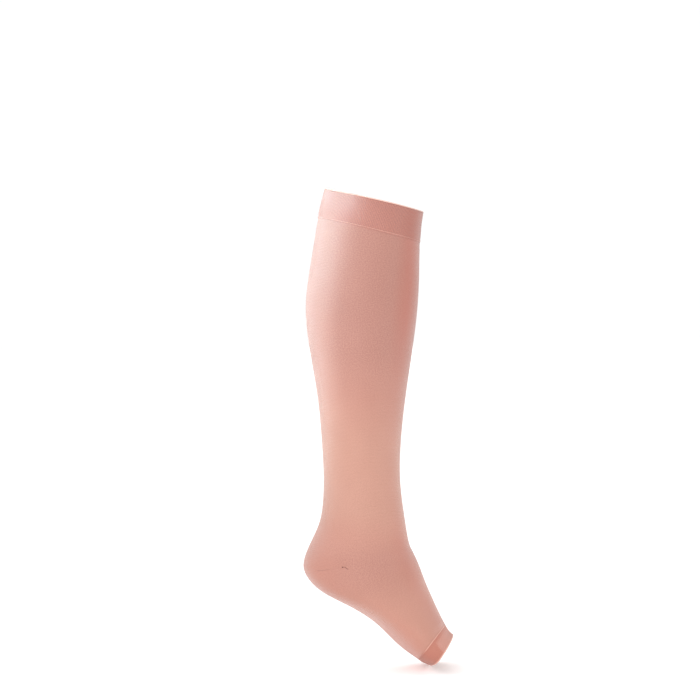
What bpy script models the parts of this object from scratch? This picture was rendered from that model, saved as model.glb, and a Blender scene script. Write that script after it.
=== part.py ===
"""Open-toe knee-high compression stocking, kept in its worn form: hollow, with the foot on tiptoe.

Frame: metres, +Z up, +X towards the toes, +Y to the wearer's left, so that -Y is the leg's outer side.
The origin is the middle of the top opening.

The stocking is knitted as one tube. Its stretches are six closed solids that meet with a seam gap:
top_band, calf_tube, ankle_tube, heel_pocket, foot_tube and toe_band. All are walls on one form, which
is a smooth tube through the rings of the table FORM. The leg is parted where the calf ends, at the
line that such a stocking's size chart calls B1.
"""
import math
from dataclasses import dataclass

import bpy
import numpy as np

# ---- driving sizes, metres ----
MM = 0.001
SEAM_GAP = 0.35 * MM        # between two stretches, measured along the form
KNIT_WALL = 1.0 * MM        # one layer of body knit
BAND_WALL = 1.6 * MM        # turned double: top band and toe band
BAND_PROUD = 0.5 * MM       # a band's outer face, outside the body knit's

HEEL_REACH_UP = 28.0 * MM       # heel pocket, from its gore line up to the Achilles tendon
HEEL_REACH_FORWARD = 28.0 * MM  # and from its gore line forward under the sole
HEEL_TIP_HALF = 0.3 * MM        # the pocket's blunt front end, half its height
HEEL_SIDE_COLUMNS = 8           # pocket columns on each side of the middle of the back
HEEL_FLAT_COLUMNS = 3           # of them, those where the pocket has its full height
GORE_DEPTH = 0.25 * MM          # groove along the line where the two halves of the pocket join

# ---- fineness of the solids ----
COLUMNS = 40        # round the leg
CALF_ROWS = 11      # from the top band to the end of the calf
SHIN_ROWS = 6       # from there to the ankle
ANKLE_ROWS = 7      # from the ankle to the heel pocket
POCKET_ROWS = 6     # in each half of the heel pocket
FOOT_ROWS = 6       # from the heel pocket to the arch
SOLE_ROWS = 8       # from the arch to the toe band
BAND_ROWS = 3       # in the plain middle of a band

# ---- the form: one row for each ring round the leg and foot, from the knee to the toes ----
# back_x, back_z    its point on the calf, the Achilles tendon, the heel and the sole, mm
# front_x, front_z  its point on the shin and the top of the foot, mm
# girth             length of the ring, mm
# square            0 is an ellipse, more fills its corners
# broad_back        how far the widest place lies towards the back, share of half the depth
# set_back          degrees by which the ring's outer side is turned towards the knee
FORM_COLUMNS = ("back_x", "back_z", "front_x", "front_z", "girth", "square", "broad_back", "set_back")
FORM = {
    "top_edge":   (-50.2,   12.2, 51.0,  -12.0, 335, 0.00, 0.04, -2.0),
    "band_mid":   (-55.3,   -6.0, 48.5,  -28.0, 339, 0.00, 0.04, -1.5),
    "band_base":  (-58.2,  -19.7, 47.5,  -44.6, 342, 0.00, 0.04, -2.2),
    "upper_calf": (-65.5,  -64.5, 46.5,  -81.5, 353, 0.01, 0.06, -1.5),
    "calf":       (-71.0, -112.0, 44.0, -121.0, 357, 0.01, 0.08, -1.5),
    "lower_calf": (-67.6, -151.0, 39.5, -155.5, 332, 0.01, 0.08, -1.0),
    "calf_end":   (-59.5, -199.0, 32.5, -204.5, 285, 0.01, 0.08, -0.5),
    "shin":       (-54.5, -254.0, 27.5, -258.0, 240, 0.01, 0.06, 0.0),
    "ankle":      (-53.0, -291.0, 27.5, -295.5, 226, 0.02, 0.02, 0.0),
    "ankle_low":  (-54.5, -319.5, 31.5, -328.0, 240, 0.02, 0.00, 0.0),
    "heel_top":   (-61.5, -345.0, 36.0, -355.0, 268, 0.03, 0.00, 0.0),
    "heel_back":  (-73.0, -370.5, 39.5, -364.5, 298, 0.04, 0.00, 0.0),
    "heel_tip":   (-74.5, -382.5, 42.5, -370.0, 302, 0.04, 0.00, 0.0),
    "heel_low":   (-67.5, -396.0, 45.5, -376.0, 296, 0.04, 0.02, 0.0),
    "heel_under": (-56.0, -406.5, 49.0, -384.5, 284, 0.04, 0.04, 0.0),
    "arch_rear":  (-31.0, -420.5, 55.5, -401.5, 258, 0.03, 0.10, 3.0),
    "arch":       (-8.0,  -433.5, 62.0, -416.5, 236, 0.03, 0.16, 6.0),
    "ball_rear":  (14.0,  -450.0, 69.0, -432.5, 227, 0.03, 0.20, 10.0),
    "ball":       (32.5,  -468.0, 74.0, -441.5, 224, 0.03, 0.22, 15.0),
    "toe_seam":   (48.5,  -481.5, 77.5, -446.0, 222, 0.03, 0.22, 19.0),
    "toe_mid":    (56.0,  -486.2, 81.2, -452.7, 218, 0.03, 0.22, 17.7),
    "toe_edge":   (64.5,  -489.7, 86.2, -457.2, 214, 0.04, 0.22, 15.3),
}

# ---- raised edges of the bands, a row for each ring: distance from the edge, height over the face; mm ----
TOP_ROLL = ((0.0, -0.30), (0.4, 0.20), (1.2, 0.25), (1.8, -0.15), (2.5, 0.00))
BASE_RIDGE = ((0.0, -0.25), (0.4, 0.20), (1.9, 0.25), (2.4, -0.15), (3.2, 0.00))
TOE_ROLL = ((0.0, -0.30), (0.4, 0.10), (1.3, 0.15), (1.9, 0.00))
TOE_SEAM_RIDGE = ((0.0, -0.30), (0.3, 0.05), (1.0, 0.10), (1.6, 0.00))

# ---- finishes: base colour (linear), roughness ----
BODY_COLOUR = (0.66, 0.38, 0.29, 1.0)
BAND_COLOUR = (0.62, 0.34, 0.26, 1.0)
HEEL_COLOUR = (0.60, 0.32, 0.24, 1.0)
CLOTH_ROUGHNESS = 0.85


def clear_scene():
    """Take every object out of the open scene."""
    for item in list(bpy.data.objects):
        bpy.data.objects.remove(item, do_unlink=True)


# ---------------------------------------------------------------- the form

def ring_shape(angle, square, broad_back):
    """Ring of half depth 1 and half width 1: places along its depth and its width."""
    depth = (np.cos(angle) - square * np.cos(3 * angle)) / (1 - square)
    depth = depth + broad_back / 2 * (np.cos(2 * angle) - 1)
    width = (np.sin(angle) + square * np.sin(3 * angle)) / (1 - square)
    return depth, width


def ring_girth(half_depth, half_width, square, broad_back):
    """Length round a ring of that size."""
    depth, width = ring_shape(np.linspace(0, 2 * math.pi, 361), square, broad_back)
    return np.hypot(np.diff(half_depth * depth), np.diff(half_width * width)).sum()


def half_width_for(girth, half_depth, square, broad_back):
    """Half width that gives a ring its girth, found by halving."""
    low, high = 0.0, girth / 2
    for _ in range(40):
        middle = (low + high) / 2
        if ring_girth(half_depth, middle, square, broad_back) < girth:
            low = middle
        else:
            high = middle
    return low


def spline_bends(stations, values):
    """Second derivatives of the natural cubic spline through the values."""
    count = len(stations)
    step = np.diff(stations)[:, None]
    matrix = np.eye(count)
    wanted = np.zeros_like(values)
    for k in range(1, count - 1):
        before, after = step[k - 1, 0], step[k, 0]
        matrix[k, k - 1:k + 2] = before, 2 * (before + after), after
        wanted[k] = 6 * ((values[k + 1] - values[k]) / after - (values[k] - values[k - 1]) / before)
    return np.linalg.solve(matrix, wanted)


class StockingForm:
    """Smooth tube through the rings of FORM, in metres.

    A station is a distance down the tube, halfway between the path down its back and the path down its
    front. An angle of 0 is the front, 180 degrees the back and 90 degrees the inner side, +Y.
    """

    def __init__(self):
        table = np.array(list(FORM.values()), dtype=float)
        column = {name: table[:, k] for k, name in enumerate(FORM_COLUMNS)}
        back = np.stack([column["back_x"], column["back_z"]], axis=1) * MM
        front = np.stack([column["front_x"], column["front_z"]], axis=1) * MM
        half_depth = np.linalg.norm(front - back, axis=1) / 2
        half_width = [half_width_for(girth * MM, depth, square, broad) for girth, depth, square, broad
                      in zip(column["girth"], half_depth, column["square"], column["broad_back"])]
        steps = (np.linalg.norm(np.diff(back, axis=0), axis=1)
                 + np.linalg.norm(np.diff(front, axis=0), axis=1)) / 2
        self.stations = np.concatenate([[0.0], np.cumsum(steps)])
        self.station = dict(zip(FORM, self.stations))
        self.rings = np.column_stack([back, front, half_width, column["square"],
                                      column["broad_back"], np.radians(column["set_back"])])
        self.bends = spline_bends(self.stations, self.rings)

    def ring_at(self, station):
        """The table's columns, smoothly carried to any station."""
        k = np.clip(np.searchsorted(self.stations, station) - 1, 0, len(self.stations) - 2)
        step = (self.stations[k + 1] - self.stations[k])[..., None]
        past = (station - self.stations[k])[..., None]
        left = step - past
        curved = (self.bends[k] * left ** 3 + self.bends[k + 1] * past ** 3) / (6 * step)
        straight_left = (self.rings[k] / step - self.bends[k] * step / 6) * left
        straight_past = (self.rings[k + 1] / step - self.bends[k + 1] * step / 6) * past
        return curved + straight_left + straight_past

    def point(self, station, angle):
        """Point on the body knit's outer face."""
        ring = self.ring_at(station)
        back, front = ring[..., 0:2], ring[..., 2:4]
        half_width, square, broad_back, set_back = (ring[..., k] for k in range(4, 8))
        middle, half = (back + front) / 2, (front - back) / 2
        half_depth = np.linalg.norm(half, axis=-1)
        depth, width = ring_shape(angle, square, broad_back)
        slide = half_width * width * np.tan(set_back) / half_depth
        x = middle[..., 0] + half[..., 0] * depth + half[..., 1] * slide
        z = middle[..., 1] + half[..., 1] * depth - half[..., 0] * slide
        return np.stack([x, half_width * width, z], axis=-1)

    def outward(self, station, angle):
        """Unit vector out of the cloth."""
        small_step, small_turn = 0.2 * MM, 0.002
        down = self.point(station + small_step, angle) - self.point(station - small_step, angle)
        round_it = self.point(station, angle + small_turn) - self.point(station, angle - small_turn)
        normal = np.cross(down, round_it)
        return normal / np.linalg.norm(normal, axis=-1, keepdims=True)


# ---------------------------------------------------------------- walls on the form

@dataclass
class Patch:
    """Grid on the form: a row for each step down the tube, a column for each step round it."""
    station: np.ndarray
    angle: np.ndarray
    stand: np.ndarray       # of the outer face over the form
    inner: float            # depth of the inner face under the form
    closed: bool            # True where the last column joins the first


def grid_faces(rows, columns, closed):
    """Faces of a wall: outer face, inner face, and the edges that close it."""
    inner = rows * columns
    last = columns if closed else columns - 1
    faces = []
    for i in range(rows - 1):
        for j in range(last):
            a, b = i * columns + j, i * columns + (j + 1) % columns
            c, d = b + columns, a + columns
            faces.append((a, d, c, b))
            faces.append((a + inner, b + inner, c + inner, d + inner))
    bottom = (rows - 1) * columns
    for j in range(last):
        k = (j + 1) % columns
        faces.append((j, k, k + inner, j + inner))
        faces.append((bottom + k, bottom + j, bottom + j + inner, bottom + k + inner))
    if not closed:
        for i in range(rows - 1):
            a, d = i * columns, (i + 1) * columns
            b, c = a + columns - 1, d + columns - 1
            faces.append((a, a + inner, d + inner, d))
            faces.append((b, c, c + inner, b + inner))
    return faces


def build_wall(name, form, patch, material):
    """One closed solid: the patch's outer points, raised where they stand, over a plain inside."""
    station, angle, stand = np.broadcast_arrays(patch.station, patch.angle, patch.stand)
    place = form.point(station, angle)
    outward = form.outward(station, angle)
    outer = place + outward * stand[..., None]
    inner = place - outward * patch.inner
    points = np.concatenate([outer.reshape(-1, 3), inner.reshape(-1, 3)])
    mesh = bpy.data.meshes.new(name)
    mesh.from_pydata(points.tolist(), [], grid_faces(*station.shape, patch.closed))
    mesh.shade_smooth()
    mesh.set_sharp_from_angle(angle=math.radians(50))
    mesh.materials.append(material)
    solid = bpy.data.objects.new(name, mesh)
    bpy.context.scene.collection.objects.link(solid)
    return solid


def cloth_material(name, colour):
    """Plain Principled cloth."""
    material = bpy.data.materials.new(name)
    material.use_nodes = True
    shader = material.node_tree.nodes["Principled BSDF"]
    shader.inputs["Base Color"].default_value = colour
    shader.inputs["Roughness"].default_value = CLOTH_ROUGHNESS
    shader.inputs["Metallic"].default_value = 0.0
    return material


def all_round():
    """Angles of the columns right round the tube."""
    return np.arange(COLUMNS)[None, :] * (2 * math.pi / COLUMNS)


def pocket_reach(reach):
    """Height of half the heel pocket over its gore line, for each column round the tube.

    It is full over the middle of the back and falls straight to the blunt tip on each side.
    """
    from_back = abs(np.arange(COLUMNS) - COLUMNS // 2)
    ramp = (HEEL_SIDE_COLUMNS - from_back) / (HEEL_SIDE_COLUMNS - HEEL_FLAT_COLUMNS)
    return HEEL_TIP_HALF + (reach - HEEL_TIP_HALF) * np.clip(ramp, 0, 1)


def beside_pocket(reach):
    """How far the leg or the foot keeps from the gore line: past the pocket, or half a seam gap."""
    from_back = abs(np.arange(COLUMNS) - COLUMNS // 2)
    return np.where(from_back <= HEEL_SIDE_COLUMNS, pocket_reach(reach) + SEAM_GAP, SEAM_GAP / 2)


def blend_rows(start, end, count):
    """Rows evenly spaced between two edges, each a number or an array over the columns."""
    share = np.linspace(0, 1, count + 1)[:, None]
    return start + (end - start) * share


def build_band(name, form, start, end, start_edge, end_edge, material):
    """A doubled band between two stations, with a raised edge at each end."""
    first, first_height = np.array(start_edge).T * MM
    last, last_height = np.array(end_edge).T * MM
    middle = np.linspace(start + first[-1], end - last[-1], BAND_ROWS + 2)[1:-1]
    station = np.concatenate([start + first, middle, (end - last)[::-1]])
    height = np.concatenate([first_height, np.zeros(BAND_ROWS), last_height[::-1]])
    patch = Patch(station[:, None], all_round(), BAND_PROUD + height[:, None],
                  inner=BAND_WALL - BAND_PROUD, closed=True)
    return build_wall(name, form, patch, material)


def build_calf_tube(form, material):
    """From under the top band down to the end of the calf."""
    start = form.station["band_base"] + SEAM_GAP / 2
    end = form.station["calf_end"] - SEAM_GAP / 2
    patch = Patch(blend_rows(start, end, CALF_ROWS), all_round(), np.zeros(1), KNIT_WALL, closed=True)
    return build_wall("calf_tube", form, patch, material)


def build_ankle_tube(form, material):
    """From the end of the calf down to the heel pocket and the instep."""
    start = form.station["calf_end"] + SEAM_GAP / 2
    ankle = form.station["ankle"]
    edge = form.station["heel_tip"] - beside_pocket(HEEL_REACH_UP)
    upper = blend_rows(start, np.full(COLUMNS, ankle), SHIN_ROWS)
    lower = blend_rows(ankle, edge, ANKLE_ROWS)[1:]
    patch = Patch(np.concatenate([upper, lower]), all_round(), np.zeros(1), KNIT_WALL, closed=True)
    return build_wall("ankle_tube", form, patch, material)


def build_heel_pocket(form, material):
    """The wedge of short courses round the heel, with a groove along its gore line."""
    first = COLUMNS // 2 - HEEL_SIDE_COLUMNS
    columns = slice(first, COLUMNS - first + 1)
    gore = form.station["heel_tip"]
    above = blend_rows(gore - pocket_reach(HEEL_REACH_UP)[columns], gore, POCKET_ROWS)
    below = blend_rows(gore, gore + pocket_reach(HEEL_REACH_FORWARD)[columns], POCKET_ROWS)[1:]
    station = np.concatenate([above, below])
    stand = np.zeros((len(station), 1))
    stand[POCKET_ROWS] = -GORE_DEPTH
    patch = Patch(station, all_round()[:, columns], stand, KNIT_WALL, closed=False)
    return build_wall("heel_pocket", form, patch, material)


def build_foot_tube(form, material):
    """From the heel pocket and the instep forward to the toe band."""
    edge = form.station["heel_tip"] + beside_pocket(HEEL_REACH_FORWARD)
    arch = form.station["arch"]
    end = form.station["toe_seam"] - SEAM_GAP / 2
    rear = blend_rows(edge, arch, FOOT_ROWS)
    fore = blend_rows(arch, np.full(COLUMNS, end), SOLE_ROWS)[1:]
    patch = Patch(np.concatenate([rear, fore]), all_round(), np.zeros(1), KNIT_WALL, closed=True)
    return build_wall("foot_tube", form, patch, material)


def build_stocking():
    """All the stretches, from the knee to the toes."""
    form = StockingForm()
    body = cloth_material("body_knit", BODY_COLOUR)
    band = cloth_material("band_knit", BAND_COLOUR)
    heel = cloth_material("heel_knit", HEEL_COLOUR)
    build_band("top_band", form, form.station["top_edge"], form.station["band_base"] - SEAM_GAP / 2,
               TOP_ROLL, BASE_RIDGE, band)
    build_calf_tube(form, body)
    build_ankle_tube(form, body)
    build_heel_pocket(form, heel)
    build_foot_tube(form, body)
    build_band("toe_band", form, form.station["toe_seam"] + SEAM_GAP / 2, form.station["toe_edge"],
               TOE_SEAM_RIDGE, TOE_ROLL, band)


clear_scene()
build_stocking()
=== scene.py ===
"""Open-toe knee-high compression stocking in its worn form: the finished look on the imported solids.

The body is one knitted tube from under the top band to under the toe band, with its heel pocket. The
two bands are doubled cloth, closed all round. Rows of small stitches lie on the seams. Everything is in
metres, +Z up the leg, +X towards the toes, and -Y is the outer side of this right leg's stocking.
"""
from __future__ import annotations

import logging
import math
from collections.abc import Sequence
from dataclasses import dataclass
from enum import Enum

import bpy
import numpy as np
from mathutils import Matrix, Vector


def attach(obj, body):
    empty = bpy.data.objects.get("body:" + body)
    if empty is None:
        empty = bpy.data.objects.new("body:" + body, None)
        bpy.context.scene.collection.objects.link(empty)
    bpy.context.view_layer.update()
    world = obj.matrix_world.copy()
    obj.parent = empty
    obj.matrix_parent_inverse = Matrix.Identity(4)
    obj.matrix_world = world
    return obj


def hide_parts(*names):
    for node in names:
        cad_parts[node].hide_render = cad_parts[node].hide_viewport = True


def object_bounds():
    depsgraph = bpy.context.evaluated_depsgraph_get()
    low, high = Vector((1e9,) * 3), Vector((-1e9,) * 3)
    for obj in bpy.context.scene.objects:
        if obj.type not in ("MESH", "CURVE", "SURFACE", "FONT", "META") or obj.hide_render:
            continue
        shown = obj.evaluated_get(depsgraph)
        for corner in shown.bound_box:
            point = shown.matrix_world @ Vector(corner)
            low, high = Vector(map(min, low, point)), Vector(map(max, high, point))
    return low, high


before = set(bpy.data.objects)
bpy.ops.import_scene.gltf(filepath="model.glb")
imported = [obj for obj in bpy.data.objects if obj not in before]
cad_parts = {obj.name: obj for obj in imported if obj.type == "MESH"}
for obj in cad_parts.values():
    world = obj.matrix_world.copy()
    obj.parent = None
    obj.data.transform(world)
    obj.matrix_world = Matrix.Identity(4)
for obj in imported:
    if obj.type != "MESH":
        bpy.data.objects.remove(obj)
CAD_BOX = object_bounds()

log = logging.getLogger("stocking")
MM = 0.001
FULL_TURN = 2 * math.pi
Tree, Socket, Array = bpy.types.NodeTree, bpy.types.NodeSocket, np.ndarray
BODY = "root"
HALF_SEAM_GAP = 0.175 * MM      # half the space between two stretches of the solids

# ---- the form: one row for each ring round the leg and foot, from the knee to the toes ----
# back_x, back_z    its point on the calf, the Achilles tendon, the heel and the sole, mm
# front_x, front_z  its point on the shin and the top of the foot, mm
# girth             length of the ring, mm
# square            0 is an ellipse, more fills its corners
# broad_back        how far the widest place lies towards the back, share of half the depth
# set_back          degrees by which the ring's outer side is turned towards the knee
FORM_COLUMNS = ("back_x", "back_z", "front_x", "front_z", "girth", "square", "broad_back", "set_back")
FORM = {
    "top_edge":   (-50.2,   12.2, 51.0,  -12.0, 335, 0.00, 0.04, -2.0),
    "band_mid":   (-55.3,   -6.0, 48.5,  -28.0, 339, 0.00, 0.04, -1.5),
    "band_base":  (-58.2,  -19.7, 47.5,  -44.6, 342, 0.00, 0.04, -2.2),
    "upper_calf": (-65.5,  -64.5, 46.5,  -81.5, 353, 0.01, 0.06, -1.5),
    "calf":       (-71.0, -112.0, 44.0, -121.0, 357, 0.01, 0.08, -1.5),
    "lower_calf": (-67.6, -151.0, 39.5, -155.5, 332, 0.01, 0.08, -1.0),
    "calf_end":   (-59.5, -199.0, 32.5, -204.5, 285, 0.01, 0.08, -0.5),
    "shin":       (-54.5, -254.0, 27.5, -258.0, 240, 0.01, 0.06, 0.0),
    "ankle":      (-53.0, -291.0, 27.5, -295.5, 226, 0.02, 0.02, 0.0),
    "ankle_low":  (-54.5, -319.5, 31.5, -328.0, 240, 0.02, 0.00, 0.0),
    "heel_top":   (-61.5, -345.0, 36.0, -355.0, 268, 0.03, 0.00, 0.0),
    "heel_back":  (-73.0, -370.5, 39.5, -364.5, 298, 0.04, 0.00, 0.0),
    "heel_tip":   (-74.5, -382.5, 42.5, -370.0, 302, 0.04, 0.00, 0.0),
    "heel_low":   (-67.5, -396.0, 45.5, -376.0, 296, 0.04, 0.02, 0.0),
    "heel_under": (-56.0, -406.5, 49.0, -384.5, 284, 0.04, 0.04, 0.0),
    "arch_rear":  (-31.0, -420.5, 55.5, -401.5, 258, 0.03, 0.10, 3.0),
    "arch":       (-8.0,  -433.5, 62.0, -416.5, 236, 0.03, 0.16, 6.0),
    "ball_rear":  (14.0,  -450.0, 69.0, -432.5, 227, 0.03, 0.20, 10.0),
    "ball":       (32.5,  -468.0, 74.0, -441.5, 224, 0.03, 0.22, 15.0),
    "toe_seam":   (48.5,  -481.5, 77.5, -446.0, 222, 0.03, 0.22, 19.0),
    "toe_mid":    (56.0,  -486.2, 81.2, -452.7, 218, 0.03, 0.22, 17.7),
    "toe_edge":   (64.5,  -489.7, 86.2, -457.2, 214, 0.04, 0.22, 15.3),
}

# ---- cross-sections of the two doubled bands: distance down from the rim or the seam, and height over
# ---- the body knit's outer face; mm. "end" rows count back from the band's other edge.
TOP_RIM = ((0.0, -0.30), (0.10, 0.18), (0.35, 0.52), (0.70, 0.66), (1.05, 0.58), (1.35, 0.34),
           (1.60, 0.20), (1.90, 0.30), (2.30, 0.44), (2.80, 0.46), (3.40, 0.42), (4.20, 0.46))
TOP_BASE = ((0.0, -0.10), (0.15, -0.02), (0.40, 0.10), (0.80, 0.26), (1.30, 0.38), (1.85, 0.37),
            (2.40, 0.28), (3.00, 0.26), (4.00, 0.34), (5.50, 0.43))
TOE_SEAM = ((0.0, -0.10), (0.12, 0.06), (0.32, 0.24), (0.62, 0.34), (0.95, 0.28), (1.25, 0.14),
            (1.60, 0.10), (2.00, 0.14), (2.60, 0.24), (3.40, 0.32))
TOE_RIM = ((0.0, -0.30), (0.10, 0.10), (0.30, 0.38), (0.62, 0.52), (0.98, 0.50), (1.35, 0.34),
           (1.70, 0.24), (2.30, 0.28), (3.20, 0.34))

# ---- where a rim has slipped a little: degrees round, mm and width in degrees; the top one has done so on
# ---- each side of the middle of the back and over the shin
TOP_RIM_DIPS = ((208.0, 1.1, 24.0), (165.0, -0.6, 16.0), (245.0, 1.2, 34.0), (300.0, 0.9, 40.0),
                (138.0, 1.6, 24.0), (60.0, 0.8, 45.0), (0.0, 0.5, 20.0), (360.0, 0.5, 20.0))
TOE_RIM_DIPS = ((205.0, 1.5, 26.0), (155.0, 1.5, 26.0))
TOE_PATCHES = ((272.0, 338.0), (36.0, 90.0))        # where toes push the toe band out, which is lighter there with painted light: between these degrees

# ---- the gore line, at each side of the heel: depth of its groove in mm, by degrees from the middle of the
# ---- back, and mm that the line climbs towards its front end
GORE_DEPTHS = ((0, 0.0), (30, 0.0), (38, 0.21), (52, 0.22), (56, 0.05), (60, 0.06), (62, 0.15), (65, 0.13),
               (66, 0.0), (180, 0.0))
GORE_RISE = 1.0

# ---- how far each of these shows at some rings, 0 to 1, with straight lines in between
# how even the yarn looks: most from the end of the calf to the heel, least round the ball of the foot
CALM = {"upper_calf": 0.59, "calf": 0.67, "lower_calf": 0.56, "calf_end": 0.83, "ankle": 0.78,
        "heel_top": 0.77, "heel_tip": 0.70, "arch": 0.56, "ball": 0.50}
# painted shade, darker and redder, on the front side of the leg and over the instep, where less light falls
SHIN_SIDE_SHADE = {"upper_calf": 1.0, "calf": 0.95, "lower_calf": 0.60, "calf_end": 0.30, "ankle": 0.22,
        "heel_top": 0.50, "heel_tip": 0.32, "ball": 0.40}
# painted warm shade under the foot, where some sheen is also taken off
SOLE_SHADE = {"ankle": 0.0, "heel_top": 0.3, "heel_under": 0.25, "arch": 0.15, "ball_rear": 0.8, "ball": 1.0}
# the slack knit over the ankle
ANKLE = {"calf_end": 0.0, "shin": 1.0, "ankle_low": 1.0, "heel_top": 0.0}


class Side(Enum):
    """The two sides of the heel, each with its end of the gore line."""
    OUTER = -1
    INNER = 1


# ---------------------------------------------------------------- colours and nodes

COLOUR_A, COLOUR_B, MIXED_COLOUR = 6, 7, 2      # numbers of the Mix node's colour inputs and output
WHITE = (1.0, 1.0, 1.0, 1.0)
MEAN_HEIGHT = 0.4               # of the stitches, about, 0 to 1
DRIFT = 0.35                    # how far the colour wanders slowly, over some centimetres
DRIFT_SCALE = 24.0              # of its noise, to a metre
WORN = 0.35                     # share of the fuzz that is worn off on the sole

def linear(hex_colour: str) -> tuple[float, float, float, float]:
    """Turn an sRGB hex colour to linear.

    Args:
        hex_colour: such as "#d9a595".

    Returns:
        Red, green, blue and alpha.
    """
    parts = [int(hex_colour[k:k + 2], 16) / 255 for k in (1, 3, 5)]
    red, green, blue = (c / 12.92 if c <= 0.04045 else ((c + 0.055) / 1.055) ** 2.4 for c in parts)
    return red, green, blue, 1.0


def add_node(tree: Tree, kind: str, links: dict | None = None, values: dict | None = None,
             **settings: object) -> bpy.types.Node:
    """Add one node with its settings and links.

    Args:
        tree: the node tree.
        kind: the node's type, such as "ShaderNodeMath".
        links: input name or number to the output socket that feeds it.
        values: input name or number to a constant.
        settings: properties of the node itself.

    Returns:
        The new node.
    """
    node = tree.nodes.new(kind)
    for name, value in settings.items():
        setattr(node, name, value)
    for key, value in (values or {}).items():
        node.inputs[key].default_value = value
    for key, socket in (links or {}).items():
        tree.links.new(socket, node.inputs[key])
    return node


def reckon(tree: Tree, operation: str, *terms: object) -> Socket:
    """Add one sum to the tree.

    Args:
        tree: the node tree.
        operation: a Math node's operation.
        terms: its inputs in order, each a socket or a number.

    Returns:
        The result's socket.
    """
    sockets = {k: t for k, t in enumerate(terms) if isinstance(t, Socket)}
    numbers = {k: t for k, t in enumerate(terms) if not isinstance(t, Socket)}
    return add_node(tree, "ShaderNodeMath", sockets, numbers, operation=operation).outputs[0]


def zone_value(tree: Tree, zone: str) -> Socket:
    """The value of one of the mesh's zones, 0 to 1."""
    return add_node(tree, "ShaderNodeAttribute", attribute_name=zone).outputs["Fac"]


def blend(tree: Tree, share: Socket, first: object, second: str,
          **settings: object) -> Socket:
    """Mix two colours.

    Args:
        tree: the node tree.
        share: how much of the second one, 0 to 1.
        first: a hex colour or a colour's socket.
        second: a hex colour.
        settings: properties of the Mix node.

    Returns:
        The mixed colour's socket.
    """
    links, values = {"Factor": share}, {COLOUR_B: linear(second)}
    if isinstance(first, str):
        values[COLOUR_A] = linear(first)
    else:
        links[COLOUR_A] = first
    return add_node(tree, "ShaderNodeMix", links, values, data_type="RGBA", **settings).outputs[MIXED_COLOUR]


def cosine(tree: Tree, count: Socket) -> Socket:
    """Wave between -1 and 1 with one crest for each whole number of the count."""
    return reckon(tree, "COSINE", reckon(tree, "MULTIPLY", count, FULL_TURN))


def new_material(name: str, roughness: float,
                 gloss: float) -> tuple[bpy.types.Material, Tree, bpy.types.Node]:
    """Start a material.

    Args:
        name: its name.
        roughness: of its surface.
        gloss: its specular level.

    Returns:
        The material, its node tree and its shader.
    """
    material = bpy.data.materials.new(name)
    material.use_nodes = True
    shader = material.node_tree.nodes["Principled BSDF"]
    shader.inputs["Roughness"].default_value = roughness
    shader.inputs["Specular IOR Level"].default_value = gloss
    return material, material.node_tree, shader


# ---------------------------------------------------------------- finishes

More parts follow.
